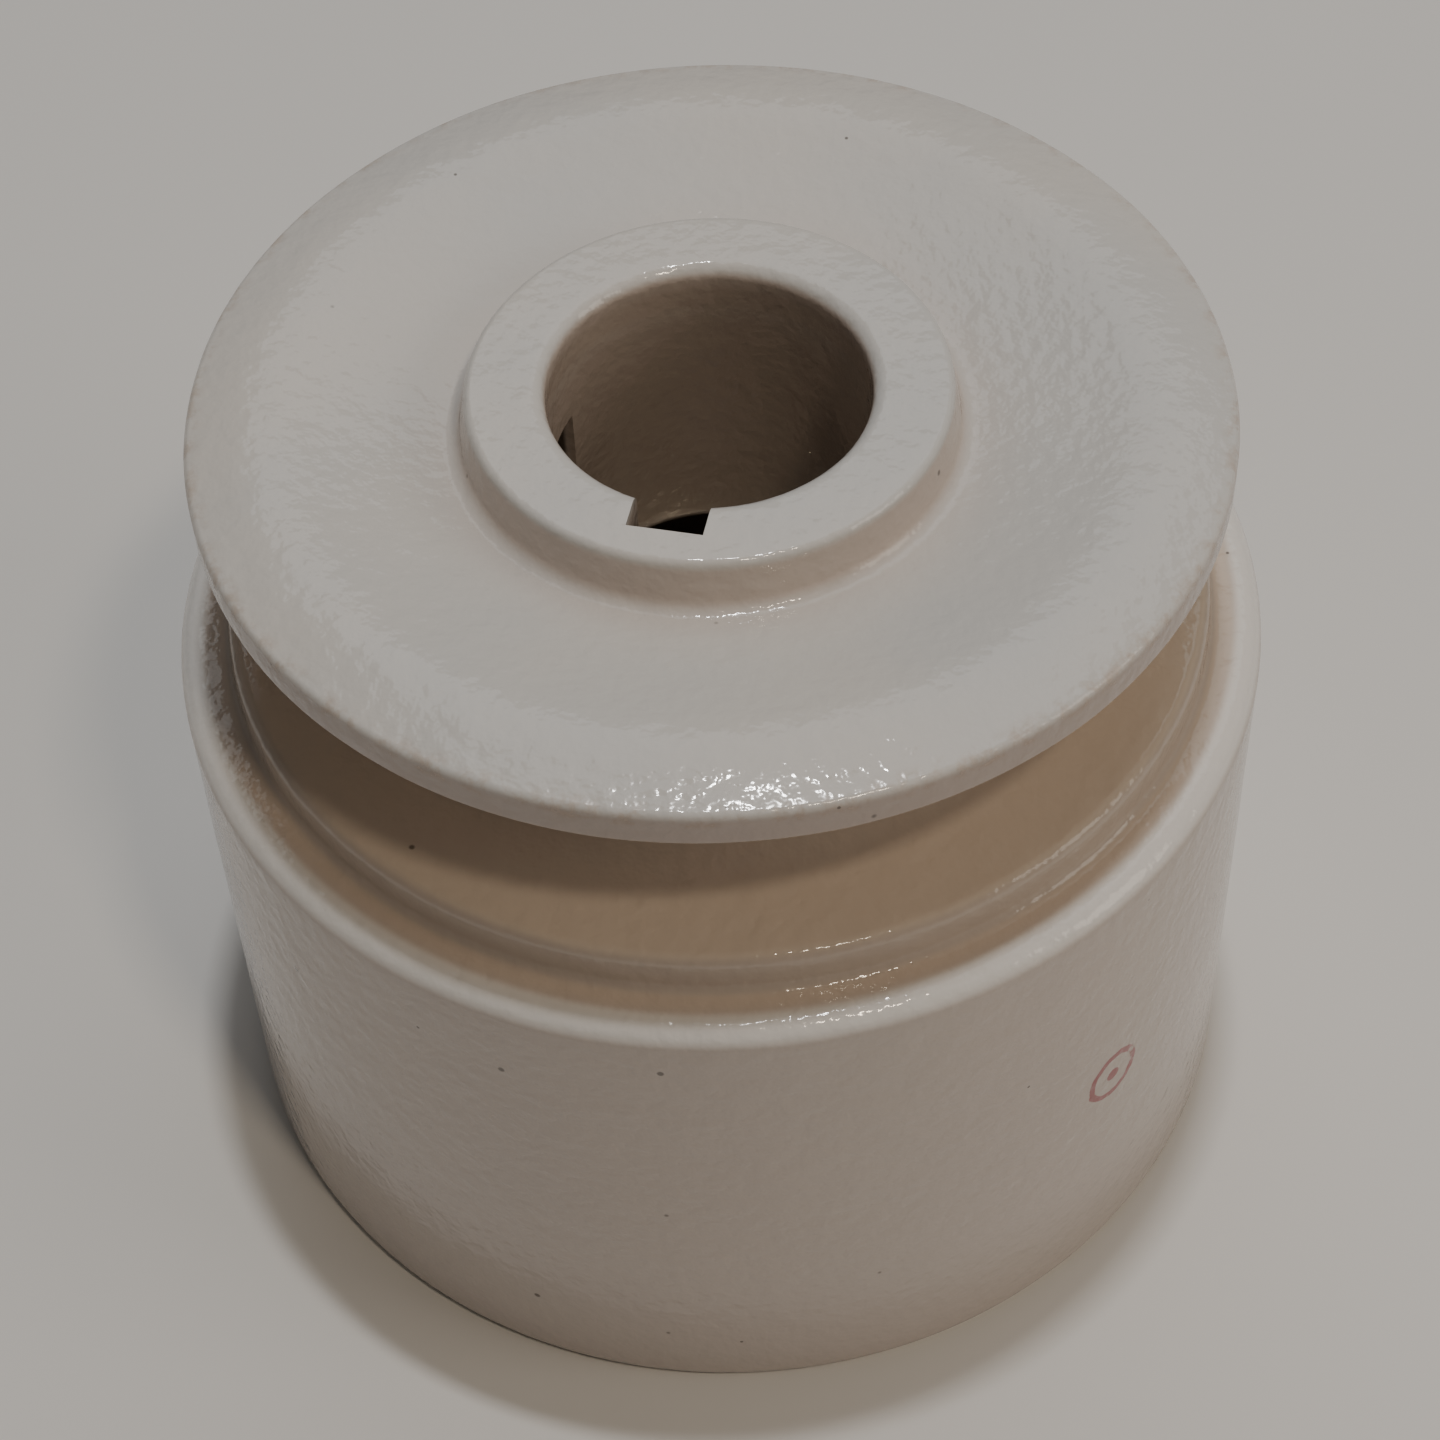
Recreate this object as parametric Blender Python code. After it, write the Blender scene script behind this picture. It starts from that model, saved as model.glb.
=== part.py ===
"""Keyed porcelain fence insulator with its captive fixing bolt.

A glazed body is turned about the Z axis: a collar and a thin flange on top, a wire groove
under the flange, and a hollow drum below. The keyed bore runs from the collar into the drum,
where a bolt with a cross lug is kept by a plate and a snap ring. The origin is the centre of
the circle that the drum stands on, and +Z points up the bore.
"""

import math

import bmesh
import bpy
from mathutils import Matrix, Vector

MM = 0.001

# Driving dimensions, in metres.
DRUM_R = 38.0 * MM
FLANGE_R = 0.916 * DRUM_R
COLLAR_TOP_R = 0.424 * DRUM_R
COLLAR_FOOT_R = 0.444 * DRUM_R
BORE_R = 0.283 * DRUM_R
NECK_R = 0.58 * DRUM_R
LEDGE_R = 0.898 * DRUM_R

FLANGE_TOP = 1.648 * DRUM_R
COLLAR_TOP = FLANGE_TOP + 0.052 * DRUM_R
DISH_BOTTOM = FLANGE_TOP - 0.052 * DRUM_R
CROWN_TOP = FLANGE_TOP + 0.030 * DRUM_R
CROWN_R = 0.78 * DRUM_R
FLANGE_BOTTOM = FLANGE_TOP - 0.072 * DRUM_R
NECK_TOP = FLANGE_TOP - 0.105 * DRUM_R
LEDGE_TOP = FLANGE_TOP - 0.410 * DRUM_R
SHOULDER_TOP = FLANGE_TOP - 0.490 * DRUM_R
CEILING = FLANGE_TOP - 0.600 * DRUM_R

CHAMBER_R = 26.0 * MM
MOUTH_R = 29.0 * MM
MOUTH_DEPTH = 7.0 * MM
CLIP_GROOVE_R = 30.2 * MM
CLIP_GROOVE_LOW = 1.1 * MM
CLIP_GROOVE_HIGH = 3.0 * MM

# The two slots in the bore wall take the bolt's lug. Angles are about Z, from +X.
SLOT_WIDTH = 5.0 * MM
SLOT_REACH = 13.5 * MM
KEYWAY_ANGLE = math.radians(-104.0)
BLIND_SLOT_ANGLE = math.radians(164.0)
BLIND_SLOT_TOP = FLANGE_TOP - 0.155 * DRUM_R

# Fixing pieces inside the drum.
GAP = 0.3 * MM
CLIP_OUTER_R = 29.9 * MM
CLIP_INNER_R = 26.8 * MM
CLIP_THICKNESS = 1.2 * MM
CLIP_LOW = CLIP_GROOVE_LOW + GAP
CLIP_OPENING = math.radians(24.0)
PLATE_R = MOUTH_R - GAP
PLATE_THICKNESS = 1.8 * MM
PLATE_LOW = CLIP_LOW + CLIP_THICKNESS + GAP
PLATE_TOP = PLATE_LOW + PLATE_THICKNESS
DRAIN_R = 2.6 * MM
DRAIN_CIRCLE_R = 17.5 * MM
DRAIN_COUNT = 4
GASKET_INNER_R = 23.6 * MM
GASKET_LOW = PLATE_TOP + GAP
GASKET_TOP = MOUTH_DEPTH - GAP

BOLT_R = 5.0 * MM
BOLT_LOW = PLATE_TOP + GAP
BOLT_TOP = CEILING - 1.0 * MM
BOLT_CHAMFER = 1.0 * MM
BOLT_FOOT_R = 8.0 * MM
BOLT_FOOT_HEIGHT = 6.4 * MM
LUG_R = 2.2 * MM
LUG_REACH = 13.0 * MM
LUG_ROOT = BOLT_FOOT_R - 4.0 * MM
LUG_HEIGHT = BOLT_LOW + BOLT_FOOT_HEIGHT / 2
SHANK_CLEARANCE = 0.35 * MM
NUT_ACROSS_FLATS = 17.0 * MM
NUT_HEIGHT = 7.0 * MM
NUT_TOP = BOLT_TOP - 2.5 * MM
NUT_CHAMFER = 0.7 * MM
WASHER_R = 10.0 * MM
WASHER_THICKNESS = 1.8 * MM
SPRING_WASHER_R = 9.0 * MM
SPRING_WASHER_THICKNESS = 2.2 * MM
SPRING_WASHER_OPENING = math.radians(16.0)
SPRING_WASHER_RISE = 0.8 * MM

CUT_BEYOND = 2.0 * MM
BODY_SEGMENTS = 64
RING_SEGMENTS = 36
BOLT_SEGMENTS = 32
SMOOTH_ANGLE = math.radians(32.0)


def clear_scene():
    for thing in list(bpy.data.objects):
        bpy.data.objects.remove(thing, do_unlink=True)


def make_material(name, color, roughness, metallic=0.0, coat=0.0):
    material = bpy.data.materials.new(name)
    material.use_nodes = True
    shader = material.node_tree.nodes["Principled BSDF"]
    shader.inputs["Base Color"].default_value = (*color, 1.0)
    shader.inputs["Roughness"].default_value = roughness
    shader.inputs["Metallic"].default_value = metallic
    shader.inputs["Coat Weight"].default_value = coat
    material.diffuse_color = (*color, 1.0)
    return material


def fillet(before, corner, after, radius, steps):
    """Points of the arc that rounds one corner of an outline."""
    to_before = (before - corner).normalized()
    to_after = (after - corner).normalized()
    half = to_before.angle(to_after) / 2
    if radius == 0.0:
        return [corner]
    setback = min(radius / math.tan(half), 0.49 * (before - corner).length,
                  0.49 * (after - corner).length)
    centre = corner + (to_before + to_after).normalized() * (setback / math.cos(half))
    start = corner + to_before * setback - centre
    sweep = start.angle_signed(corner + to_after * setback - centre)
    turns = [Matrix.Rotation(-sweep * step / steps, 2) for step in range(steps + 1)]
    return [centre + turn @ start for turn in turns]


def rounded_outline(corners, steps=3):
    """Closed outline through (radius, height, fillet radius, optional steps) corners."""
    places = [Vector(corner[:2]) for corner in corners]
    outline = []
    for index, corner in enumerate(corners):
        after = places[(index + 1) % len(places)]
        corner_steps = corner[3] if len(corner) > 3 else steps
        outline += fillet(places[index - 1], places[index], after, corner[2], corner_steps)
    return outline


def finish_mesh(name, shape, material, parent=None):
    """Make an object of a bmesh, with its faces out and its round sides smooth."""
    bmesh.ops.recalc_face_normals(shape, faces=shape.faces)
    mesh = bpy.data.meshes.new(name)
    shape.to_mesh(mesh)
    shape.free()
    mesh.shade_smooth()
    mesh.set_sharp_from_angle(angle=SMOOTH_ANGLE)
    mesh.materials.append(material)
    piece = bpy.data.objects.new(name, mesh)
    piece.parent = parent
    bpy.context.scene.collection.objects.link(piece)
    return piece


def join_rows(shape, row_a, row_b):
    """Quads between two closed rows of vertices."""
    for index in range(len(row_a)):
        after = (index + 1) % len(row_a)
        shape.faces.new((row_a[index], row_a[after], row_b[after], row_b[index]))


def turned_ring(outline, segments):
    """A closed outline turned all the way round the Z axis."""
    shape = bmesh.new()
    rows = []
    for step in range(segments):
        turn = math.tau * step / segments
        rows.append([shape.verts.new((p.x * math.cos(turn), p.x * math.sin(turn), p.y))
                     for p in outline])
    for step in range(segments):
        join_rows(shape, rows[step], rows[(step + 1) % segments])
    return shape


def open_ring(outline, segments, opening, rise=0.0):
    """A closed outline turned part of the way round Z, climbing by rise, with flat ends."""
    shape = bmesh.new()
    rows = []
    for step in range(segments + 1):
        share = step / segments
        turn = opening / 2 + (math.tau - opening) * share
        rows.append([shape.verts.new((p.x * math.cos(turn), p.x * math.sin(turn),
                                      p.y + rise * (share - 0.5))) for p in outline])
    for step in range(segments):
        join_rows(shape, rows[step], rows[step + 1])
    shape.faces.new(rows[0])
    shape.faces.new(rows[-1])
    return shape


def turned_solid(profile, segments):
    """A profile that starts and ends on the Z axis, turned all the way round it."""
    shape = bmesh.new()
    rings = []
    for radius, height in profile:
        if radius == 0.0:
            rings.append([shape.verts.new((0.0, 0.0, height))])
            continue
        turns = [math.tau * step / segments for step in range(segments)]
        rings.append([shape.verts.new((radius * math.cos(turn), radius * math.sin(turn), height))
                      for turn in turns])
    for lower, upper in zip(rings, rings[1:]):
        if len(lower) > 1 and len(upper) > 1:
            join_rows(shape, lower, upper)
            continue
        tip, ring = (lower[0], upper) if len(lower) == 1 else (upper[0], lower)
        for index in range(segments):
            shape.faces.new((tip, ring[index], ring[(index + 1) % segments]))
    return shape


def cutter(name, shape):
    """A hidden tool for a Boolean cut."""
    bmesh.ops.recalc_face_normals(shape, faces=shape.faces)
    mesh = bpy.data.meshes.new(name)
    shape.to_mesh(mesh)
    shape.free()
    tool = bpy.data.objects.new(name, mesh)
    tool.hide_render = True
    tool.display_type = "WIRE"
    bpy.context.scene.collection.objects.link(tool)
    return tool


def cut(piece, tool):
    modifier = piece.modifiers.new(tool.name, "BOOLEAN")
    modifier.operation = "DIFFERENCE"
    modifier.solver = "EXACT"
    modifier.object = tool


def slot_cutter(name, angle, high):
    """A radial slot: a plate of SLOT_WIDTH from the axis to SLOT_REACH, open to the drum below."""
    half, low = SLOT_WIDTH / 2, CEILING - CUT_BEYOND
    outline = [(-half, low), (half, low), (half, high), (-half, high)]
    shape = bmesh.new()
    near = [shape.verts.new((0.0, side, height)) for side, height in outline]
    far = [shape.verts.new((SLOT_REACH, side, height)) for side, height in outline]
    join_rows(shape, near, far)
    shape.faces.new(near)
    shape.faces.new(far)
    shape.transform(Matrix.Rotation(angle, 4, "Z"))
    return cutter(name, shape)


def porcelain_body(material):
    """The glazed body: flange, wire groove and hollow drum in one turned piece."""
    corners = [
        (BORE_R, COLLAR_TOP, 1.1 * MM, 3),
        (COLLAR_TOP_R, COLLAR_TOP, 0.6 * MM, 2),
        (COLLAR_FOOT_R, DISH_BOTTOM, 1.0 * MM, 3),
        (CROWN_R, CROWN_TOP, 20.0 * MM, 5),
        (FLANGE_R, FLANGE_TOP, 0.8 * MM, 3),
        (FLANGE_R, FLANGE_BOTTOM, 0.35 * MM, 1),
        (NECK_R, NECK_TOP, 3.6 * MM, 3),
        (NECK_R, LEDGE_TOP - 0.6 * MM, 6.5 * MM, 5),
        (LEDGE_R, LEDGE_TOP, 0.9 * MM, 3),
        (LEDGE_R + 0.2 * MM, SHOULDER_TOP, 0.8 * MM, 3),
        (DRUM_R, SHOULDER_TOP, 1.6 * MM, 4),
        (DRUM_R, 0.0, 1.2 * MM, 2),
        (MOUTH_R, 0.0, 0.5 * MM, 1),
        (MOUTH_R, CLIP_GROOVE_LOW, 0.0),
        (CLIP_GROOVE_R, CLIP_GROOVE_LOW, 0.0),
        (CLIP_GROOVE_R, CLIP_GROOVE_HIGH, 0.0),
        (MOUTH_R, CLIP_GROOVE_HIGH, 0.0),
        (MOUTH_R, MOUTH_DEPTH, 0.0),
        (CHAMBER_R, MOUTH_DEPTH, 0.5 * MM, 1),
        (CHAMBER_R, CEILING, 5.0 * MM, 3),
        (BORE_R, CEILING, 1.0 * MM, 2),
    ]
    body = finish_mesh("porcelain_body", turned_ring(rounded_outline(corners), BODY_SEGMENTS),
                       material)
    cut(body, slot_cutter("keyway_cutter", KEYWAY_ANGLE, COLLAR_TOP + CUT_BEYOND))
    cut(body, slot_cutter("blind_slot_cutter", BLIND_SLOT_ANGLE, BLIND_SLOT_TOP))
    return body


def plain_ring(name, inner_r, outer_r, low, high, edge, material, parent=None):
    """A flat ring with its edges eased."""
    corners = [(inner_r, high, edge), (outer_r, high, edge), (outer_r, low, edge),
               (inner_r, low, edge)]
    return finish_mesh(name, turned_ring(rounded_outline(corners, 2), RING_SEGMENTS), material,
                       parent)


def retainer_plate(material):
    """The disc that closes the drum, pierced to let rain water out."""
    edge = 0.4 * MM
    profile = [(0.0, PLATE_LOW), (PLATE_R - edge, PLATE_LOW), (PLATE_R, PLATE_LOW + edge),
               (PLATE_R, PLATE_TOP - edge), (PLATE_R - edge, PLATE_TOP), (0.0, PLATE_TOP)]
    plate = finish_mesh("retainer_plate", turned_solid(profile, BODY_SEGMENTS), material)
    drill_profile = [(0.0, PLATE_LOW - CUT_BEYOND), (DRAIN_R, PLATE_LOW - CUT_BEYOND),
                     (DRAIN_R, PLATE_TOP + CUT_BEYOND), (0.0, PLATE_TOP + CUT_BEYOND)]
    for index in range(DRAIN_COUNT):
        drill = turned_solid(drill_profile, BOLT_SEGMENTS // 2)
        turn = Matrix.Rotation(math.tau * (index + 0.5) / DRAIN_COUNT, 4, "Z")
        drill.transform(turn @ Matrix.Translation((DRAIN_CIRCLE_R, 0.0, 0.0)))
        cut(plate, cutter(f"drain_cutter_{index + 1}", drill))
    return plate


def snap_ring(material):
    """The open spring ring that holds the plate up."""
    corners = [(CLIP_INNER_R, CLIP_LOW + CLIP_THICKNESS, 0.2 * MM),
               (CLIP_OUTER_R, CLIP_LOW + CLIP_THICKNESS, 0.2 * MM),
               (CLIP_OUTER_R, CLIP_LOW, 0.2 * MM), (CLIP_INNER_R, CLIP_LOW, 0.2 * MM)]
    return finish_mesh("snap_ring", open_ring(rounded_outline(corners, 1), RING_SEGMENTS,
                                              CLIP_OPENING), material)


def fixing_bolt(material, parent):
    """The bolt: a plain shank on a wide foot that carries the lug."""
    ease = 0.6 * MM
    foot_top = BOLT_LOW + BOLT_FOOT_HEIGHT
    profile = [(0.0, BOLT_LOW), (BOLT_FOOT_R - ease, BOLT_LOW), (BOLT_FOOT_R, BOLT_LOW + ease),
               (BOLT_FOOT_R, foot_top - ease), (BOLT_FOOT_R - ease, foot_top),
               (BOLT_R + ease, foot_top), (BOLT_R, foot_top + ease),
               (BOLT_R, BOLT_TOP - BOLT_CHAMFER), (BOLT_R - BOLT_CHAMFER, BOLT_TOP),
               (0.0, BOLT_TOP)]
    bolt = finish_mesh("fixing_bolt", turned_solid(profile, BOLT_SEGMENTS), material, parent)
    socket_r = LUG_R + GAP
    socket = turned_solid([(0.0, LUG_ROOT - GAP), (socket_r, LUG_ROOT - GAP),
                           (socket_r, LUG_REACH), (0.0, LUG_REACH)], BOLT_SEGMENTS // 2)
    socket.transform(lug_placement())
    cut(bolt, cutter("lug_socket_cutter", socket))
    return bolt


def lug_placement():
    """Turns a piece built up the Z axis to lie along the lug."""
    return (Matrix.Translation((0.0, 0.0, LUG_HEIGHT)) @ Matrix.Rotation(KEYWAY_ANGLE, 4, "Z")
            @ Matrix.Rotation(math.pi / 2, 4, "Y"))


def lug_pin(material, parent):
    """The pin pressed into the bolt's foot, which slides in the bore's slots."""
    ease = 0.5 * MM
    profile = [(0.0, LUG_ROOT), (LUG_R - ease, LUG_ROOT), (LUG_R, LUG_ROOT + ease),
               (LUG_R, LUG_REACH - ease), (LUG_R - ease, LUG_REACH), (0.0, LUG_REACH)]
    shape = turned_solid(profile, BOLT_SEGMENTS // 2)
    shape.transform(lug_placement())
    return finish_mesh("lug_pin", shape, material, parent)


def hex_nut(material, parent):
    """A hexagon nut with chamfered corners and a clear round hole."""
    inner_r = BOLT_R + SHANK_CLEARANCE
    corner_r = NUT_ACROSS_FLATS / 2 / math.cos(math.pi / 6)
    low = NUT_TOP - NUT_HEIGHT
    per_side = RING_SEGMENTS // 6
    shape = bmesh.new()
    rows = []
    for step in range(RING_SEGMENTS):
        turn = math.tau * step / RING_SEGMENTS
        off_flat = (step % per_side) / per_side * math.pi / 3 - math.pi / 6
        side_r = NUT_ACROSS_FLATS / 2 / math.cos(off_flat)
        face_r = min(side_r, NUT_ACROSS_FLATS / 2) - NUT_CHAMFER / 2
        drop = NUT_CHAMFER * (side_r - face_r) / (corner_r - face_r)
        section = [(inner_r, NUT_TOP), (face_r, NUT_TOP), (side_r, NUT_TOP - drop),
                   (side_r, low + drop), (face_r, low), (inner_r, low)]
        rows.append([shape.verts.new((r * math.cos(turn), r * math.sin(turn), z))
                     for r, z in section])
    for step in range(RING_SEGMENTS):
        join_rows(shape, rows[step], rows[(step + 1) % RING_SEGMENTS])
    return finish_mesh("hex_nut", shape, material, parent)


def spring_washer(material, parent, top):
    """The split washer under the nut, its two ends sprung apart."""
    middle_rise = SPRING_WASHER_RISE / 2
    inner_r = BOLT_R + SHANK_CLEARANCE
    corners = [(inner_r, top - middle_rise, 0.2 * MM),
               (SPRING_WASHER_R, top - middle_rise, 0.2 * MM),
               (SPRING_WASHER_R, top - middle_rise - SPRING_WASHER_THICKNESS, 0.2 * MM),
               (inner_r, top - middle_rise - SPRING_WASHER_THICKNESS, 0.2 * MM)]
    ring = open_ring(rounded_outline(corners, 1), RING_SEGMENTS, SPRING_WASHER_OPENING,
                     SPRING_WASHER_RISE)
    return finish_mesh("spring_washer", ring, material, parent)


def axis_empty(name):
    """An empty on the bore's axis, which the moving pieces are parented to."""
    empty = bpy.data.objects.new(name, None)
    bpy.context.scene.collection.objects.link(empty)
    return empty


def main():
    clear_scene()
    glaze = make_material("porcelain_glaze", (0.52, 0.49, 0.45), 0.18, coat=0.6)
    zinc = make_material("zinc_plate", (0.55, 0.55, 0.53), 0.38, metallic=1.0)
    bolt_steel = make_material("bolt_steel", (0.47, 0.47, 0.46), 0.32, metallic=1.0)
    pin_steel = make_material("pin_steel", (0.36, 0.36, 0.37), 0.28, metallic=1.0)
    nut_steel = make_material("nut_steel", (0.60, 0.58, 0.50), 0.34, metallic=1.0)
    washer_steel = make_material("washer_steel", (0.62, 0.62, 0.60), 0.42, metallic=1.0)
    spring_steel = make_material("spring_steel", (0.20, 0.20, 0.22), 0.35, metallic=1.0)
    clip_steel = make_material("clip_steel", (0.14, 0.14, 0.15), 0.40, metallic=1.0)
    rubber = make_material("rubber", (0.035, 0.035, 0.035), 0.75)

    porcelain_body(glaze)
    plain_ring("seal_ring", GASKET_INNER_R, PLATE_R, GASKET_LOW, GASKET_TOP, 0.3 * MM, rubber)
    retainer_plate(zinc)
    snap_ring(clip_steel)

    bolt_axis = axis_empty("bolt_axis")
    fixing_bolt(bolt_steel, bolt_axis)
    lug_pin(pin_steel, bolt_axis)
    hex_nut(nut_steel, bolt_axis)
    spring_top = NUT_TOP - NUT_HEIGHT - GAP
    spring_washer(spring_steel, bolt_axis, spring_top)
    washer_top = spring_top - SPRING_WASHER_THICKNESS - SPRING_WASHER_RISE - GAP
    plain_ring("plain_washer", BOLT_R + SHANK_CLEARANCE, WASHER_R, washer_top - WASHER_THICKNESS,
               washer_top, 0.25 * MM, washer_steel, bolt_axis)


main()
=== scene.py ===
"""Looks of the keyed porcelain fence insulator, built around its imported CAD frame.

The porcelain gets a fine turned surface with a glaze, and the bolt gets its thread. The other
fixings keep their CAD shapes and get worn metal or rubber.
"""

import math

import bmesh
import bpy
from mathutils import Matrix, Vector, noise


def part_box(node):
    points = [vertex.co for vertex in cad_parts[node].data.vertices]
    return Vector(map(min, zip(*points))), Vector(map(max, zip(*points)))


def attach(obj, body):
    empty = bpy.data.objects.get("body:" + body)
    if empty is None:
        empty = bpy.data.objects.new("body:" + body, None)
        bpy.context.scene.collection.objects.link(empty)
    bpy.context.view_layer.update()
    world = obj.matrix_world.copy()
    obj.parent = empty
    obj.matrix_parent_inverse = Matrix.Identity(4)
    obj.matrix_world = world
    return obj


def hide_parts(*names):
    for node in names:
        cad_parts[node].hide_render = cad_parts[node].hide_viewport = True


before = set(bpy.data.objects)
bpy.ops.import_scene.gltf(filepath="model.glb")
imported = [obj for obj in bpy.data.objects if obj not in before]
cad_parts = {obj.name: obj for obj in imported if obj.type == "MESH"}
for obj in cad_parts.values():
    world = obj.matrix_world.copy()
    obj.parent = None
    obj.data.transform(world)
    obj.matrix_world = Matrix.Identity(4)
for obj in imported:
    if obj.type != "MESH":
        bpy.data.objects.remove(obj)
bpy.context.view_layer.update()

MM = 0.001
BODY_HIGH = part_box("porcelain_body")[1]
DRUM_R = BODY_HIGH.x
COLLAR_TOP = BODY_HIGH.z

# Turned profile of the porcelain. The shares are of the drum's radius.
FLANGE_R = 0.916 * DRUM_R
COLLAR_TOP_R = 0.424 * DRUM_R
COLLAR_FOOT_R = 0.444 * DRUM_R
BORE_R = 0.283 * DRUM_R
NECK_R = 0.58 * DRUM_R
LEDGE_R = 0.898 * DRUM_R
FLANGE_TOP = COLLAR_TOP - 0.052 * DRUM_R
DISH_BOTTOM = FLANGE_TOP - 0.052 * DRUM_R
CROWN_TOP = FLANGE_TOP + 0.030 * DRUM_R
CROWN_R = 0.78 * DRUM_R
FLANGE_BOTTOM = FLANGE_TOP - 0.072 * DRUM_R
NECK_TOP = FLANGE_TOP - 0.105 * DRUM_R
LEDGE_TOP = FLANGE_TOP - 0.410 * DRUM_R
SHOULDER_TOP = FLANGE_TOP - 0.490 * DRUM_R
CEILING = FLANGE_TOP - 0.600 * DRUM_R
CHAMBER_R = 26.0 * MM
MOUTH_R = 29.0 * MM
MOUTH_DEPTH = 7.0 * MM
CLIP_GROOVE_R = 30.2 * MM
CLIP_GROOVE_LOW = 1.1 * MM
CLIP_GROOVE_HIGH = 3.0 * MM

# The two slots in the bore's wall.
SLOT_WIDTH = 5.0 * MM
SLOT_REACH = 13.5 * MM
KEYWAY_ANGLE = math.radians(-104.0)
BLIND_SLOT_ANGLE = math.radians(164.0)
BLIND_SLOT_TOP = FLANGE_TOP - 0.155 * DRUM_R
CUT_BEYOND = 2.0 * MM

# Fineness of the porcelain's mesh, and the unevenness of its glaze.
ROUND_STEPS = 288
FILLET_STEPS = 10
OUTSIDE_SPACING = 0.8 * MM
INSIDE_SPACING = 2.5 * MM
WAVE_DEPTH = 0.09 * MM
WAVE_LENGTH = 9.0 * MM
QUICK_WAVE_LENGTH = 0.35 * WAVE_LENGTH
QUICK_WAVE_SHIFT = Vector((7.0, 3.0, 5.0))
MEAN_SINK, SLOW_SHARE, QUICK_SHARE = 0.5, 0.40, 0.12

# The bolt, M10 with a coarse thread.
BOLT_LOW, BOLT_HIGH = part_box("fixing_bolt")
PIN_LOW, PIN_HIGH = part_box("lug_pin")
BOLT_R = 5.0 * MM
THREAD_PITCH = 1.5 * MM
THREAD_DEPTH = 0.92 * MM
THREAD_STEEPNESS = 2.4
THREAD_FLAT = 0.1
FOOT_HEIGHT = 6.4 * MM
PLAIN_SHANK = 3.0 * MM
EASE = 0.6 * MM
BOLT_CHAMFER = 1.0 * MM
LUG_R = 2.2 * MM
LUG_ROOT = 4.0 * MM
FIT_GAP = 0.3 * MM
BOLT_STEPS = 72
THREAD_STEPS = 10

FIRST_SMOOTH_ANGLE = math.radians(40.0)
GLAZE_SMOOTH_ANGLE = math.radians(50.0)
BOLT_SMOOTH_ANGLE = math.radians(35.0)

# Glaze colours, with painted light and shade among them: a painted lit band on the rim top; painted
# shade on the collar, flange and step sides, under the flange, in the bore and in the slots;
# painted warm bounce light in the gutter; and the lower and groove colours partly painted shade and
# bounce light.
CLOUD_COLORS = (0.66, 0.635, 0.60), (0.62, 0.615, 0.60)
# Lower glaze: partly its own tone, partly painted shade and warm bounce light on the sides below
# the flange.
LOWER_GLAZE_AND_PAINTED_SHADE = (0.555, 0.475, 0.425)
# Painted light: the rim top's lit band beyond the flange's shadow, brightened in colour.
RIM_TOP_PAINTED_LIGHT = (0.80, 0.78, 0.75)
# Painted shade on the collar's vertical side, which faces away from the overhead light.
COLLAR_SIDE_PAINTED_SHADE = (0.58, 0.49, 0.43)
# Painted shade on the flange's vertical edge.
FLANGE_SIDE_PAINTED_SHADE = (0.45, 0.37, 0.33)
# Groove colour: partly pooled glaze, partly painted warm bounce light under the flange.
GROOVE_POOL_AND_BOUNCE_LIGHT = (0.70, 0.60, 0.49)
# Painted warm bounce light on the gutter floor under the flange.
GUTTER_PAINTED_BOUNCE_LIGHT = (0.78, 0.57, 0.37)
# Painted shade on the vertical face of the ledge step.
STEP_PAINTED_SHADE = (0.50, 0.42, 0.37)
# Painted shade on the neck under the flange.
UNDER_FLANGE_PAINTED_SHADE = (0.50, 0.39, 0.32)
# Painted shade inside the bore and the hollow drum.
INSIDE_PAINTED_SHADE = (0.48, 0.40, 0.34)
# Near-black painted shadow inside the slots.
SLOT_PAINTED_SHADOW = (0.07, 0.055, 0.04)
THIN_EDGE_BROWN = (0.42, 0.30, 0.21)
SPECK_COLOR = (0.10, 0.085, 0.07)
STAMP_INK = (0.34, 0.07, 0.08)
BARE_FOOT = (0.62, 0.55, 0.47)

# Kiln specks, as cell size, share of the cells with none, and speck radius as a share of a cell.
SPECKS = ((5.0 * MM, 0.68, 0.060), (4.0 * MM, 0.62, 0.040))

STAMP_ANGLE = math.radians(-47.0)
STAMP_HEIGHT = FLANGE_TOP - 1.06 * DRUM_R
STAMP_R = 2.2 * MM
STAMP_DOT_R = 0.3 * MM
STAMP_SMEAR = 0.4 * MM
STROKE_INNER, STROKE_OUTER = 0.22 * MM, 0.36 * MM

GLAZE_IOR = 1.52
GLAZE_ROUGHNESS = 0.06
PATCH_ROUGHNESS = 0.08

# Lamps, as name, place, size, power and colour.
LAMPS = (
    ("ceiling_lamp", (0.03, 0.06, 0.85), (0.06, 0.025), 2.0, (1.0, 0.98, 0.96)),
    ("ceiling_panel", (0.10, 0.50, 1.00), (0.8, 0.8), 1.9, (0.93, 0.97, 1.0)),
    ("warm_lamp", (0.21, -0.37, 0.78), (0.09, 0.06), 1.2, (1.0, 0.83, 0.63)),
    ("right_fill", (0.85, -0.28, 0.42), (0.4, 0.5), 1.5, (1.0, 0.88, 0.76)),
)
ROOM_COLOR = (0.95, 0.90, 0.84, 1.0)
ROOM_STRENGTH = 0.08

CAMERA_PITCH = math.radians(50.32)
CAMERA_ROLL = math.radians(2.83)
CAMERA_REACH = 6.48 * DRUM_R
CAMERA_AIM = Vector((-0.009 * DRUM_R, 0.0, FLANGE_TOP - 0.865 * DRUM_R))
SENSOR = 36.0
FOCAL_LENGTH = 2.3244 * SENSOR

FLOOR_COLORS = (0.78, 0.775, 0.76), (0.82, 0.815, 0.80)
FLOOR_HALF = 3.0
FLOOR_GRAIN = 0.12


# ---------------------------------------------------------------- mesh helpers

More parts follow.
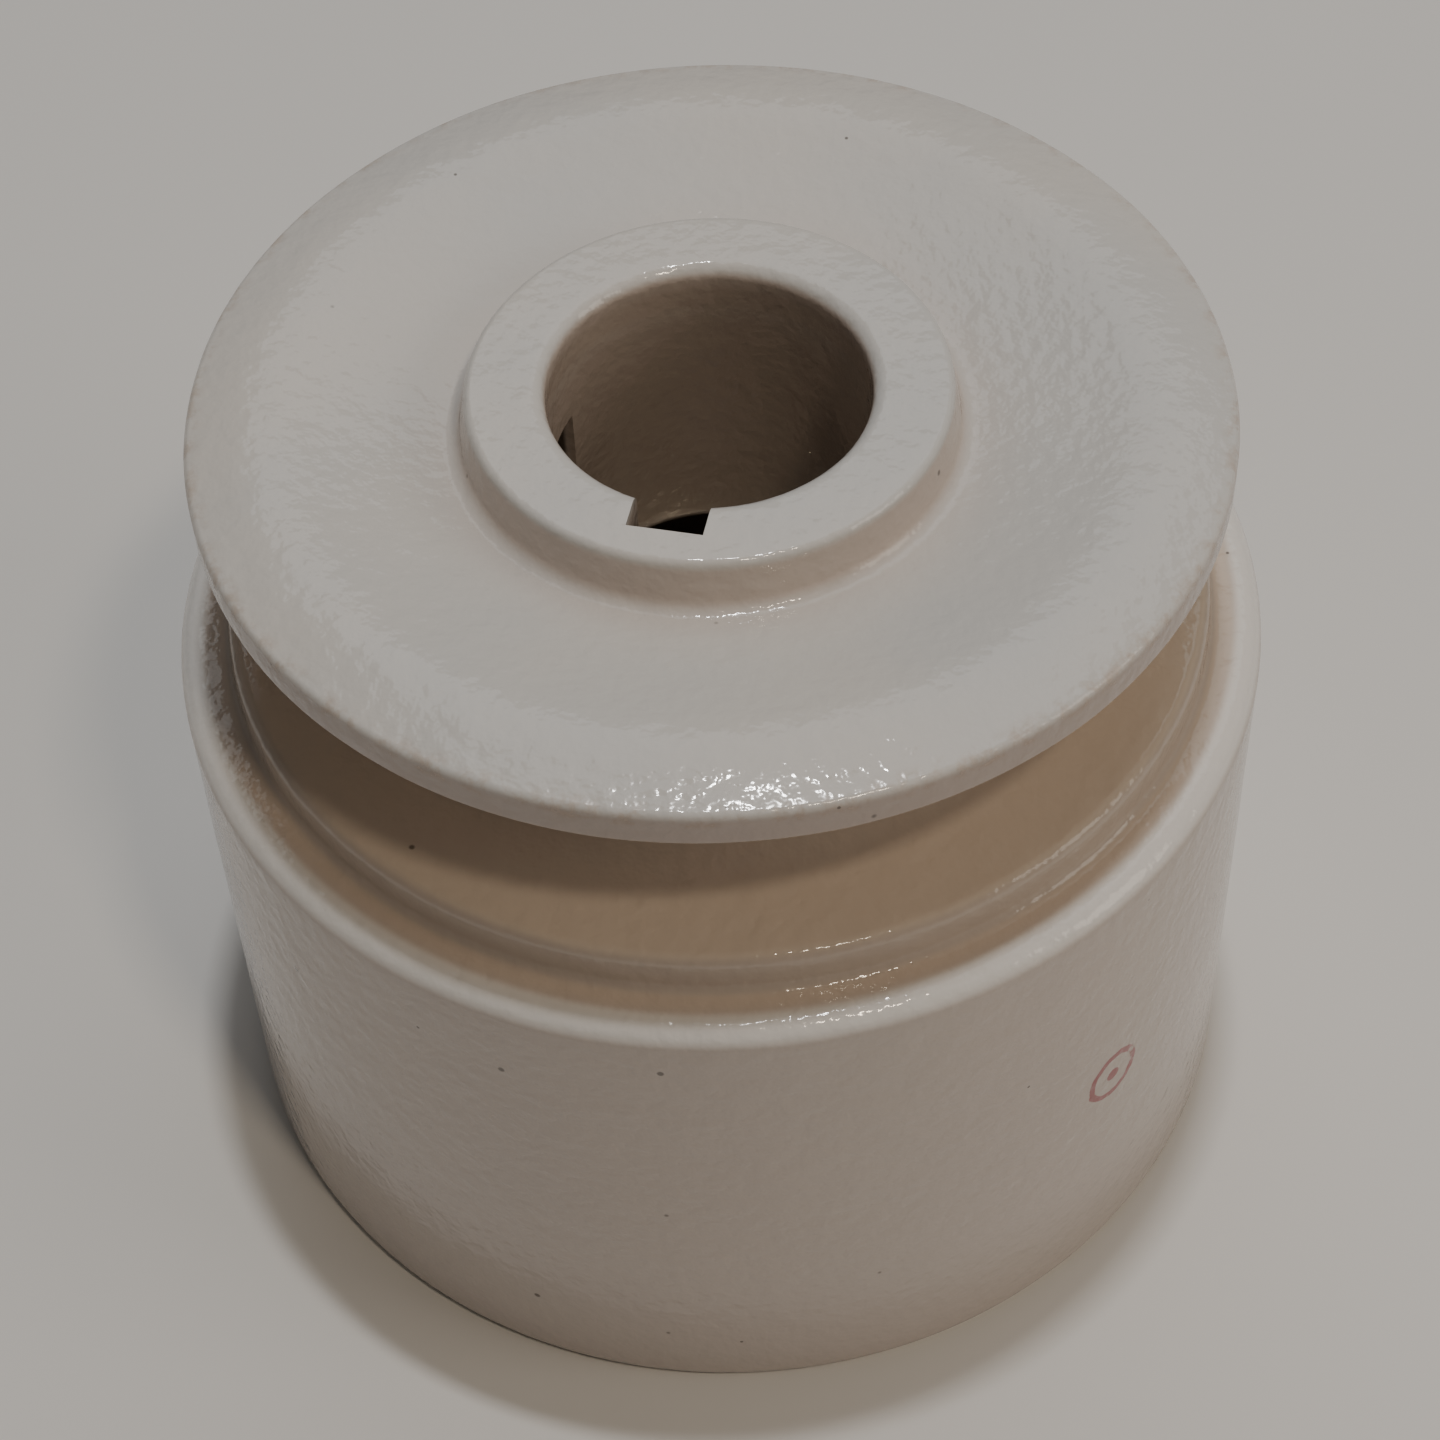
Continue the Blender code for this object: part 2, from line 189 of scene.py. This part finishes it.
def fillet(before, corner, after, radius, steps):
    """Points of the arc that rounds one corner of an outline."""
    to_before = (before - corner).normalized()
    to_after = (after - corner).normalized()
    half = to_before.angle(to_after) / 2
    if radius == 0.0:
        return [corner]
    setback = min(radius / math.tan(half), 0.49 * (before - corner).length,
                  0.49 * (after - corner).length)
    centre = corner + (to_before + to_after).normalized() * (setback / math.cos(half))
    start = corner + to_before * setback - centre
    sweep = start.angle_signed(corner + to_after * setback - centre)
    turns = [Matrix.Rotation(-sweep * step / steps, 2) for step in range(steps + 1)]
    return [centre + turn @ start for turn in turns]


def rounded_outline(corners, steps):
    """Closed outline through (radius, height, fillet radius) corners."""
    places = [Vector(corner[:2]) for corner in corners]
    outline = []
    for index, corner in enumerate(corners):
        after = places[(index + 1) % len(places)]
        outline += fillet(places[index - 1], places[index], after, corner[2], steps)
    return outline


def evenly_filled(outline, spacing_at):
    """The same closed outline with its long straight runs divided."""
    filled = []
    for start, end in zip(outline, outline[1:] + outline[:1]):
        parts = max(1, math.ceil((end - start).length / spacing_at(start.lerp(end, 0.5))))
        filled += [start.lerp(end, part / parts) for part in range(parts)]
    return filled


def smooth(mesh, angle):
    """Smooth shading, but for edges that turn by more than the angle."""
    mesh.shade_smooth()
    mesh.set_sharp_from_angle(angle=angle)


def object_from(shape, name, material):
    """An object made of a bmesh, with its faces out."""
    bmesh.ops.recalc_face_normals(shape, faces=shape.faces)
    mesh = bpy.data.meshes.new(name)
    shape.to_mesh(mesh)
    shape.free()
    smooth(mesh, FIRST_SMOOTH_ANGLE)
    mesh.materials.append(material)
    piece = bpy.data.objects.new(name, mesh)
    bpy.context.scene.collection.objects.link(piece)
    return piece


def join_rows(shape, row, after):
    """Quads between two closed rows of vertices."""
    for index in range(len(row)):
        beside = (index + 1) % len(row)
        shape.faces.new((row[index], row[beside], after[beside], after[index]))


def turned_ring(outline, segments):
    """A closed outline turned all the way round the Z axis."""
    shape = bmesh.new()
    turns = [math.tau * step / segments for step in range(segments)]
    rows = [[shape.verts.new((p.x * math.cos(turn), p.x * math.sin(turn), p.y))
             for p in outline] for turn in turns]
    for row, after in zip(rows, rows[1:] + rows[:1]):
        join_rows(shape, row, after)
    return shape


def turned_solid(rings):
    """Rings of places, from one point on the Z axis to another, joined into a closed solid."""
    shape = bmesh.new()
    rows = [[shape.verts.new(place) for place in ring] for ring in rings]
    for lower, upper in zip(rows, rows[1:]):
        if len(lower) > 1 and len(upper) > 1:
            join_rows(shape, lower, upper)
            continue
        tip, ring = (lower[0], upper) if len(lower) == 1 else (upper[0], lower)
        for index in range(len(ring)):
            shape.faces.new((tip, ring[index], ring[(index + 1) % len(ring)]))
    return shape


def cut(piece, shape):
    """Cuts a closed shape out of a piece's mesh for good."""
    bmesh.ops.recalc_face_normals(shape, faces=shape.faces)
    mesh = bpy.data.meshes.new("cutter")
    shape.to_mesh(mesh)
    shape.free()
    tool = bpy.data.objects.new("cutter", mesh)
    bpy.context.scene.collection.objects.link(tool)
    modifier = piece.modifiers.new("cut", "BOOLEAN")
    modifier.operation = "DIFFERENCE"
    modifier.solver = "EXACT"
    modifier.object = tool
    bpy.context.view_layer.update()
    result = bpy.data.meshes.new_from_object(piece.evaluated_get(
        bpy.context.evaluated_depsgraph_get()))
    piece.modifiers.clear()
    piece.data = result
    bpy.data.objects.remove(tool)


# ---------------------------------------------------------------- porcelain

def slot_shape(angle, high):
    """A radial slot from the axis to SLOT_REACH, open to the drum below."""
    half, low = SLOT_WIDTH / 2, CEILING - CUT_BEYOND
    outline = [(-half, low), (half, low), (half, high), (-half, high)]
    shape = bmesh.new()
    near = [shape.verts.new((0.0, side, height)) for side, height in outline]
    far = [shape.verts.new((SLOT_REACH, side, height)) for side, height in outline]
    join_rows(shape, near, far)
    shape.faces.new(near)
    shape.faces.new(far)
    shape.transform(Matrix.Rotation(angle, 4, "Z"))
    return shape


def wavy(mesh):
    """Sinks the surface a little and unevenly, as a fired glaze does."""
    normals = [vertex.normal.copy() for vertex in mesh.vertices]
    places = []
    for vertex, normal in zip(mesh.vertices, normals):
        slow = noise.noise(vertex.co / WAVE_LENGTH)
        quick = noise.noise(vertex.co / QUICK_WAVE_LENGTH + QUICK_WAVE_SHIFT)
        sink = MEAN_SINK + SLOW_SHARE * slow + QUICK_SHARE * quick
        places.extend(vertex.co - normal * (WAVE_DEPTH * sink))
    mesh.vertices.foreach_set("co", places)
    mesh.update()


def porcelain(material):
    """The glazed body: collar, flange, wire groove and hollow drum, with its keyed bore."""
    corners = [
        (BORE_R, COLLAR_TOP, 1.1 * MM),
        (COLLAR_TOP_R, COLLAR_TOP, 0.6 * MM),
        (COLLAR_FOOT_R, DISH_BOTTOM, 1.0 * MM),
        (CROWN_R, CROWN_TOP, 20.0 * MM),
        (FLANGE_R, FLANGE_TOP, 0.6 * MM),
        (FLANGE_R, FLANGE_BOTTOM, 0.35 * MM),
        (NECK_R, NECK_TOP, 3.6 * MM),
        (NECK_R, LEDGE_TOP - 0.6 * MM, 6.5 * MM),
        (LEDGE_R, LEDGE_TOP, 0.9 * MM),
        (LEDGE_R + 0.2 * MM, SHOULDER_TOP, 0.8 * MM),
        (DRUM_R, SHOULDER_TOP, 1.6 * MM),
        (DRUM_R, 0.0, 1.2 * MM),
        (MOUTH_R, 0.0, 0.5 * MM),
        (MOUTH_R, CLIP_GROOVE_LOW, 0.0),
        (CLIP_GROOVE_R, CLIP_GROOVE_LOW, 0.0),
        (CLIP_GROOVE_R, CLIP_GROOVE_HIGH, 0.0),
        (MOUTH_R, CLIP_GROOVE_HIGH, 0.0),
        (MOUTH_R, MOUTH_DEPTH, 0.0),
        (CHAMBER_R, MOUTH_DEPTH, 0.5 * MM),
        (CHAMBER_R, CEILING, 5.0 * MM),
        (BORE_R, CEILING, 1.0 * MM),
    ]

    def spacing_at(place):
        return INSIDE_SPACING if place.x < MOUTH_R and place.y < CEILING else OUTSIDE_SPACING

    outline = evenly_filled(rounded_outline(corners, FILLET_STEPS), spacing_at)
    body = object_from(turned_ring(outline, ROUND_STEPS), "glazed_body", material)
    wavy(body.data)
    cut(body, slot_shape(KEYWAY_ANGLE, COLLAR_TOP + CUT_BEYOND))
    cut(body, slot_shape(BLIND_SLOT_ANGLE, BLIND_SLOT_TOP))
    smooth(body.data, GLAZE_SMOOTH_ANGLE)
    return body


# ---------------------------------------------------------------- bolt

def round_ring(radius_at, height):
    """One ring about the Z axis, whose radius depends on the angle, or a point on the axis."""
    if radius_at is None:
        return [(0.0, 0.0, height)]
    turns = [math.tau * step / BOLT_STEPS for step in range(BOLT_STEPS)]
    return [(radius_at(turn) * math.cos(turn), radius_at(turn) * math.sin(turn), height)
            for turn in turns]


def lug_socket():
    """The cross hole in the bolt's foot, a little wider than the lug pin."""
    rings = [round_ring(None, LUG_ROOT - FIT_GAP),
             round_ring(lambda turn: LUG_R + FIT_GAP, LUG_ROOT - FIT_GAP),
             round_ring(lambda turn: LUG_R + FIT_GAP, SLOT_REACH),
             round_ring(None, SLOT_REACH)]
    socket = turned_solid(rings)
    lug_height = (PIN_LOW.z + PIN_HIGH.z) / 2
    socket.transform(Matrix.Translation((0.0, 0.0, lug_height))
                     @ Matrix.Rotation(KEYWAY_ANGLE, 4, "Z") @ Matrix.Rotation(math.pi / 2, 4, "Y"))
    return socket


def threaded_bolt(material):
    """The bolt: a threaded shank on a wide foot with a cross hole for the lug pin."""
    low, top = BOLT_LOW.z, BOLT_HIGH.z
    foot_r, foot_top = BOLT_HIGH.x, low + FOOT_HEIGHT
    thread_low = foot_top + PLAIN_SHANK
    plain = [(foot_r - EASE, low), (foot_r, low + EASE), (foot_r, foot_top - EASE),
             (foot_r - EASE, foot_top), (BOLT_R + EASE, foot_top), (BOLT_R, foot_top + EASE),
             (BOLT_R, thread_low)]
    rings = [round_ring(None, low)]
    rings += [round_ring(lambda turn, r=radius: r, height) for radius, height in plain]

    def thread_radius(turn, height):
        share = ((height - thread_low) / THREAD_PITCH - turn / math.tau) % 1.0
        flank = min(1.0, max(0.0, THREAD_STEEPNESS * abs(share - 0.5) - THREAD_FLAT))
        run_out = min(1.0, (height - thread_low) / THREAD_PITCH)
        chamfer_r = BOLT_R - BOLT_CHAMFER + (top - height)
        return min(BOLT_R - THREAD_DEPTH * flank * run_out, chamfer_r)

    count = math.floor((top - thread_low) / THREAD_PITCH * THREAD_STEPS)
    for step in range(1, count + 1):
        height = thread_low + (top - thread_low) * step / count
        rings.append(round_ring(lambda turn, z=height: thread_radius(turn, z), height))
    rings.append(round_ring(None, top))
    bolt = object_from(turned_solid(rings), "threaded_bolt", material)
    cut(bolt, lug_socket())
    smooth(bolt.data, BOLT_SMOOTH_ANGLE)
    return bolt


# ---------------------------------------------------------------- materials

class Nodes:
    """Short calls that add nodes to one material."""

    def __init__(self, name):
        self.material = bpy.data.materials.new(name)
        self.material.use_nodes = True
        self.tree = self.material.node_tree
        self.shader = self.tree.nodes["Principled BSDF"]
        self.place = self.tree.nodes.new("ShaderNodeTexCoord").outputs["Object"]

    def link(self, source, target):
        """Joins a socket to another, or sets a plain value."""
        if hasattr(source, "links"):
            self.tree.links.new(source, target)
        else:
            target.default_value = source

    def math(self, operation, first, second=0.0, third=0.0):
        node = self.tree.nodes.new("ShaderNodeMath")
        node.operation = operation
        for socket, value in zip(node.inputs, (first, second, third)):
            self.link(value, socket)
        return node.outputs[0]

    def product(self, *shares):
        result = shares[0]
        for share in shares[1:]:
            result = self.math("MULTIPLY", result, share)
        return result

    def length(self, first, second):
        squares = self.math("ADD", self.product(first, first), self.product(second, second))
        return self.math("SQRT", squares)

    def split(self):
        node = self.tree.nodes.new("ShaderNodeSeparateXYZ")
        self.link(self.place, node.inputs[0])
        return node.outputs

    def noise(self, length, detail=3.0, roughness=0.5):
        node = self.tree.nodes.new("ShaderNodeTexNoise")
        self.link(self.place, node.inputs["Vector"])
        node.inputs["Scale"].default_value = 1.0 / length
        node.inputs["Detail"].default_value = detail
        node.inputs["Roughness"].default_value = roughness
        return node.outputs["Fac"]

    def ramp(self, value, none, full):
        """0 on the side of none, 1 on the side of full, and smooth between them."""
        node = self.tree.nodes.new("ShaderNodeMapRange")
        node.interpolation_type = "SMOOTHSTEP"
        node.clamp = True
        self.link(value, node.inputs["Value"])
        start, end = (0.0, 1.0) if none < full else (1.0, 0.0)
        node.inputs["From Min"].default_value = min(none, full)
        node.inputs["From Max"].default_value = max(none, full)
        node.inputs["To Min"].default_value = start
        node.inputs["To Max"].default_value = end
        return node.outputs["Result"]

    def mix(self, share, first, second):
        node = self.tree.nodes.new("ShaderNodeMix")
        node.data_type = "RGBA"
        self.link(share, node.inputs[0])
        for value, socket in ((first, node.inputs[6]), (second, node.inputs[7])):
            self.link(value if hasattr(value, "links") else (*value, 1.0), socket)
        return node.outputs[2]

    def bump(self, height, distance, normal=None):
        node = self.tree.nodes.new("ShaderNodeBump")
        node.inputs["Strength"].default_value = 1.0
        node.inputs["Distance"].default_value = distance
        self.link(height, node.inputs["Height"])
        if normal is not None:
            self.link(normal, node.inputs["Normal"])
        return node.outputs["Normal"]


def outer_glaze_and_painted_light(nodes, color, radius, z):
    """The glaze on the drum, its rim, the collar's side and the flange's side, with painted light
    and shade: the rim top painted as a lit band, the collar's and flange's sides painted as shade,
    and the lower glaze partly painted shade and warm bounce light.
    """
    # Below the flange the glaze is painted darker and warmer, partly its own tone and partly
    # painted shade and warm bounce light.
    below_flange = nodes.ramp(z, FLANGE_TOP - 0.5 * MM, FLANGE_BOTTOM - 1.0 * MM)
    color = nodes.mix(nodes.product(below_flange, 0.8), color, LOWER_GLAZE_AND_PAINTED_SHADE)

    # Painted light: the rim top, out of the flange's shadow, is painted brighter.
    rim_lit_band = nodes.product(
        nodes.ramp(radius, DRUM_R - 2.3 * MM, DRUM_R - 1.6 * MM),
        nodes.ramp(z, SHOULDER_TOP - 1.5 * MM, SHOULDER_TOP - 0.6 * MM),
        nodes.ramp(z, FLANGE_BOTTOM, FLANGE_BOTTOM - 1.0 * MM))
    color = nodes.mix(rim_lit_band, color, RIM_TOP_PAINTED_LIGHT)

    # Painted shade: the collar's vertical side is painted darker.
    collar_side_shade = nodes.product(
        nodes.ramp(z, COLLAR_TOP - 0.3 * MM, COLLAR_TOP - 0.9 * MM),
        nodes.ramp(z, DISH_BOTTOM + 0.1 * MM, DISH_BOTTOM + 0.9 * MM),
        nodes.ramp(radius, COLLAR_FOOT_R + 0.9 * MM, COLLAR_FOOT_R + 0.3 * MM))
    color = nodes.mix(nodes.product(collar_side_shade, 0.85), color, COLLAR_SIDE_PAINTED_SHADE)

    # Painted shade: the flange's vertical edge is painted darker.
    flange_side_shade = nodes.product(
        nodes.ramp(radius, FLANGE_R - 0.5 * MM, FLANGE_R - 0.2 * MM),
        nodes.ramp(z, FLANGE_TOP, FLANGE_TOP - 0.7 * MM),
        nodes.ramp(z, FLANGE_BOTTOM - 1.0 * MM, FLANGE_BOTTOM - 0.3 * MM))
    return nodes.mix(nodes.product(flange_side_shade, 0.85), color, FLANGE_SIDE_PAINTED_SHADE)


def groove_glaze_and_painted_light(nodes, color, radius, z):
    """The glaze in the wire groove, where it pools, with painted warm bounce light in it, a painted
    lit gutter, painted shade on the step's face and painted shade under the flange.
    """
    # Partly pooled glaze and partly painted warm bounce light in the groove.
    in_groove = nodes.product(
        nodes.ramp(z, SHOULDER_TOP - 1.0 * MM, SHOULDER_TOP + 1.5 * MM),
        nodes.ramp(z, FLANGE_BOTTOM + 0.5 * MM, FLANGE_BOTTOM - 0.5 * MM),
        nodes.ramp(radius, LEDGE_R + 2.6 * MM, LEDGE_R + 1.0 * MM),
        nodes.ramp(radius, BORE_R + 3.5 * MM, BORE_R + 5.0 * MM))
    color = nodes.mix(nodes.product(in_groove, 0.8), color, GROOVE_POOL_AND_BOUNCE_LIGHT)

    # Painted light: the gutter floor is painted bright orange, as warm bounce light.
    gutter = nodes.product(nodes.ramp(radius, LEDGE_R + 0.3 * MM, LEDGE_R + 0.7 * MM),
                           nodes.ramp(z, LEDGE_TOP, SHOULDER_TOP + 0.8 * MM))
    color = nodes.mix(nodes.product(gutter, in_groove, 0.6), color, GUTTER_PAINTED_BOUNCE_LIGHT)

    # Painted shade: the ledge step's vertical face is painted darker.
    step_face = nodes.product(nodes.ramp(radius, LEDGE_R - 0.5 * MM, LEDGE_R - 0.1 * MM),
                              nodes.math("SUBTRACT", 1.0, gutter))
    color = nodes.mix(nodes.product(step_face, in_groove, 0.6), color, STEP_PAINTED_SHADE)

    # Painted shade: the neck is painted darker towards the flange above it.
    under_flange_shade = nodes.ramp(z, LEDGE_TOP + 1.0 * MM, NECK_TOP)
    return nodes.mix(nodes.product(under_flange_shade, in_groove, 0.7), color, UNDER_FLANGE_PAINTED_SHADE)


def inner_painted_shade(nodes, color, radius, z):
    """Painted shade in the bore and the hollow drum, and near-black painted shadow in the slots."""
    # Painted shade: the bore and the drum's inside are painted darker.
    in_drum = nodes.product(nodes.ramp(radius, CHAMBER_R + 1.2 * MM, CHAMBER_R + 0.6 * MM),
                            nodes.ramp(z, CEILING + 1.0 * MM, CEILING))
    in_bore = nodes.product(nodes.ramp(radius, BORE_R + 0.8 * MM, BORE_R + 0.2 * MM),
                            nodes.ramp(z, COLLAR_TOP - 0.9 * MM, COLLAR_TOP - 2.2 * MM))
    recess_shade = nodes.math("MAXIMUM", in_drum, in_bore)
    color = nodes.mix(nodes.product(recess_shade, 0.8), color, INSIDE_PAINTED_SHADE)

    # Painted shadow: the slots are painted near-black.
    in_slot = nodes.product(
        nodes.ramp(radius, BORE_R + 0.5 * MM, BORE_R + 0.9 * MM),
        nodes.ramp(radius, SLOT_REACH + 0.6 * MM, SLOT_REACH + 0.3 * MM),
        nodes.ramp(z, CEILING - 0.5 * MM, CEILING + 0.5 * MM),
        nodes.ramp(z, COLLAR_TOP - 1.6 * MM, COLLAR_TOP - 3.0 * MM))
    return nodes.mix(nodes.product(in_slot, 0.9), color, SLOT_PAINTED_SHADOW)


def thin_edge(nodes, radius, z):
    """Where thin glaze along the flange's top edge lets the brown body through."""
    fray = nodes.noise(1.3 * MM, 3.0, 0.7)
    return nodes.product(
        nodes.ramp(radius, FLANGE_R - 1.5 * MM, FLANGE_R - 0.1 * MM),
        nodes.ramp(z, FLANGE_TOP - 1.3 * MM, FLANGE_TOP - 0.7 * MM),
        nodes.ramp(radius, FLANGE_R + 1.2 * MM, FLANGE_R + 0.6 * MM),
        nodes.ramp(fray, 0.42, 0.72))


def kiln_specks(nodes, color):
    """Dark dots in some of the cells of a fine pattern."""
    for length, empty_share, reach in SPECKS:
        cells = nodes.tree.nodes.new("ShaderNodeTexVoronoi")
        cells.inputs["Scale"].default_value = 1.0 / length
        nodes.link(nodes.place, cells.inputs["Vector"])
        pick = nodes.tree.nodes.new("ShaderNodeSeparateColor")
        nodes.link(cells.outputs["Color"], pick.inputs[0])
        dot = nodes.product(nodes.ramp(cells.outputs["Distance"], reach, 0.5 * reach),
                            nodes.math("GREATER_THAN", pick.outputs[0], empty_share))
        color = nodes.mix(nodes.product(dot, 0.8), color, SPECK_COLOR)
    return color


def stamp(nodes, color, x, y, z, radius):
    """A plain inspection stamp in red on the drum: a ring with a dot in it."""
    turn = nodes.math("SUBTRACT", nodes.math("ARCTAN2", y, x), STAMP_ANGLE)
    from_centre = nodes.length(nodes.product(turn, DRUM_R),
                               nodes.math("SUBTRACT", z, STAMP_HEIGHT))
    smear = nodes.math("MULTIPLY_ADD", nodes.noise(1.0 * MM, 3.0), STAMP_SMEAR, -STAMP_SMEAR / 2)
    off_ring = nodes.math("ABSOLUTE", nodes.math("ADD", smear,
                                                 nodes.math("SUBTRACT", from_centre, STAMP_R)))
    off_dot = nodes.math("ADD", smear, nodes.math("SUBTRACT", from_centre, STAMP_DOT_R))
    ink = nodes.product(
        nodes.ramp(nodes.math("MINIMUM", off_ring, off_dot), STROKE_OUTER, STROKE_INNER),
        nodes.ramp(nodes.noise(1.4 * MM, 2.0), 0.26, 0.40),
        nodes.ramp(radius, 0.97 * DRUM_R, 0.98 * DRUM_R))
    return nodes.mix(nodes.product(ink, 0.9), color, STAMP_INK)


def porcelain_material():
    """Off-white glaze: pooled in the groove and painted warm there with bounce light, a painted lit
    rim band, painted shade on the sides, under the flange and in the bore and slots, thin and brown
    on edges, a few specks.
    """
    nodes = Nodes("porcelain_glaze")
    x, y, z = nodes.split()
    radius = nodes.length(x, y)
    cloud = nodes.noise(26.0 * MM, 2.0)
    color = nodes.mix(nodes.ramp(cloud, 0.35, 0.65), *CLOUD_COLORS)
    color = outer_glaze_and_painted_light(nodes, color, radius, z)
    color = groove_glaze_and_painted_light(nodes, color, radius, z)
    color = inner_painted_shade(nodes, color, radius, z)
    brown = thin_edge(nodes, radius, z)
    color = nodes.mix(nodes.product(brown, 0.5), color, THIN_EDGE_BROWN)
    color = kiln_specks(nodes, color)
    color = stamp(nodes, color, x, y, z, radius)
    bare_foot = nodes.ramp(z, 0.9 * MM, 0.35 * MM)
    color = nodes.mix(bare_foot, color, BARE_FOOT)
    nodes.link(color, nodes.shader.inputs["Base Color"])

    patches = nodes.noise(7.0 * MM, 3.0)
    rough = nodes.math("MULTIPLY_ADD", patches, PATCH_ROUGHNESS, GLAZE_ROUGHNESS)
    rough = nodes.math("ADD", rough, nodes.product(bare_foot, 0.5))
    rough = nodes.math("ADD", rough, nodes.product(brown, 0.25))
    nodes.link(rough, nodes.shader.inputs["Roughness"])
    nodes.shader.inputs["IOR"].default_value = GLAZE_IOR

    swell = nodes.noise(3.2 * MM, 2.0)
    peel = nodes.noise(1.1 * MM, 2.0)
    normal = nodes.bump(swell, 0.12 * MM)
    normal = nodes.bump(peel, 0.11 * MM, normal)
    nodes.link(normal, nodes.shader.inputs["Normal"])
    return nodes.material


def metal_material(name, color, tint, roughness, scratch=0.06):
    """Plated or blackened steel with fine marks and a patchy film."""
    nodes = Nodes(name)
    film = nodes.noise(3.0 * MM, 4.0, 0.6)
    nodes.link(nodes.mix(nodes.ramp(film, 0.35, 0.7), color, tint),
               nodes.shader.inputs["Base Color"])
    nodes.shader.inputs["Metallic"].default_value = 1.0
    marks = nodes.noise(0.5 * MM, 3.0, 0.7)
    nodes.link(nodes.math("MULTIPLY_ADD", marks, 2 * scratch, roughness - scratch),
               nodes.shader.inputs["Roughness"])
    nodes.link(nodes.bump(marks, 0.008 * MM), nodes.shader.inputs["Normal"])
    return nodes.material


def rubber_material():
    """Matt black rubber with a faint bloom."""
    nodes = Nodes("moulded_rubber")
    bloom = nodes.noise(2.5 * MM, 4.0, 0.6)
    nodes.link(nodes.mix(bloom, (0.022, 0.022, 0.023), (0.055, 0.053, 0.05)),
               nodes.shader.inputs["Base Color"])
    grain = nodes.noise(0.35 * MM, 2.0)
    nodes.link(nodes.math("MULTIPLY_ADD", grain, 0.2, 0.6), nodes.shader.inputs["Roughness"])
    nodes.link(nodes.bump(grain, 0.02 * MM), nodes.shader.inputs["Normal"])
    return nodes.material


# ---------------------------------------------------------------- stage, light and camera

def floor():
    """The pale plain ground."""
    shape = bmesh.new()
    bmesh.ops.create_grid(shape, x_segments=8, y_segments=8, size=FLOOR_HALF)
    nodes = Nodes("pale_floor")
    nodes.link(nodes.mix(nodes.noise(FLOOR_GRAIN), *FLOOR_COLORS),
               nodes.shader.inputs["Base Color"])
    nodes.shader.inputs["Roughness"].default_value = 0.75
    object_from(shape, "floor", nodes.material)


def lights():
    """A dim warm room with four lamps, all aimed at the middle of the insulator."""
    world = bpy.data.worlds.new("soft_room")
    world.use_nodes = True
    background = world.node_tree.nodes["Background"]
    background.inputs["Color"].default_value = ROOM_COLOR
    background.inputs["Strength"].default_value = ROOM_STRENGTH
    bpy.context.scene.world = world
    aim = Vector((0.0, 0.0, 0.5 * COLLAR_TOP))
    for name, place, size, power, color in LAMPS:
        light = bpy.data.lights.new(name, "AREA")
        light.shape = "RECTANGLE"
        light.size, light.size_y = size
        light.energy = power
        light.color = color
        lamp = bpy.data.objects.new(name, light)
        lamp.location = place
        lamp.rotation_euler = (aim - Vector(place)).to_track_quat("-Z", "Y").to_euler()
        bpy.context.scene.collection.objects.link(lamp)


def camera():
    """The photograph's view, from above the keyway's side."""
    data = bpy.data.cameras.new("camera")
    data.sensor_width = SENSOR
    data.lens = FOCAL_LENGTH
    data.clip_start = 0.01
    data.clip_end = 20.0
    eye = bpy.data.objects.new("camera", data)
    turn = Matrix.Rotation(math.pi / 2 - CAMERA_PITCH, 4, "X")
    roll = Matrix.Rotation(-CAMERA_ROLL, 4, "Z")
    eye.matrix_world = (Matrix.Translation(CAMERA_AIM) @ turn @ roll
                        @ Matrix.Translation((0.0, 0.0, CAMERA_REACH)))
    bpy.context.scene.collection.objects.link(eye)
    bpy.context.scene.camera = eye


# ---------------------------------------------------------------- the build

def dress(node, material):
    """Gives a CAD node that keeps its shape its material."""
    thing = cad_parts[node]
    thing.data.materials.clear()
    thing.data.materials.append(material)


camera()
lights()
floor()

body = porcelain(porcelain_material())
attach(body, "insulator")
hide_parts("porcelain_body")

bolt = threaded_bolt(metal_material("bolt_steel", (0.56, 0.56, 0.57), (0.47, 0.46, 0.44), 0.30))
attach(bolt, "bolt")
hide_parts("fixing_bolt")

dress("seal_ring", rubber_material())
dress("retainer_plate", metal_material("zinc_plate", (0.60, 0.61, 0.62), (0.50, 0.50, 0.49), 0.36))
dress("snap_ring", metal_material("clip_steel", (0.10, 0.10, 0.11), (0.16, 0.14, 0.12), 0.38))
dress("lug_pin", metal_material("pin_steel", (0.42, 0.42, 0.43), (0.36, 0.35, 0.34), 0.26))
dress("hex_nut", metal_material("nut_steel", (0.66, 0.61, 0.46), (0.58, 0.56, 0.50), 0.32))
dress("spring_washer", metal_material("spring_steel", (0.20, 0.20, 0.22), (0.26, 0.24, 0.22), 0.34))
dress("plain_washer", metal_material("washer_steel", (0.64, 0.64, 0.64), (0.55, 0.54, 0.52), 0.40))
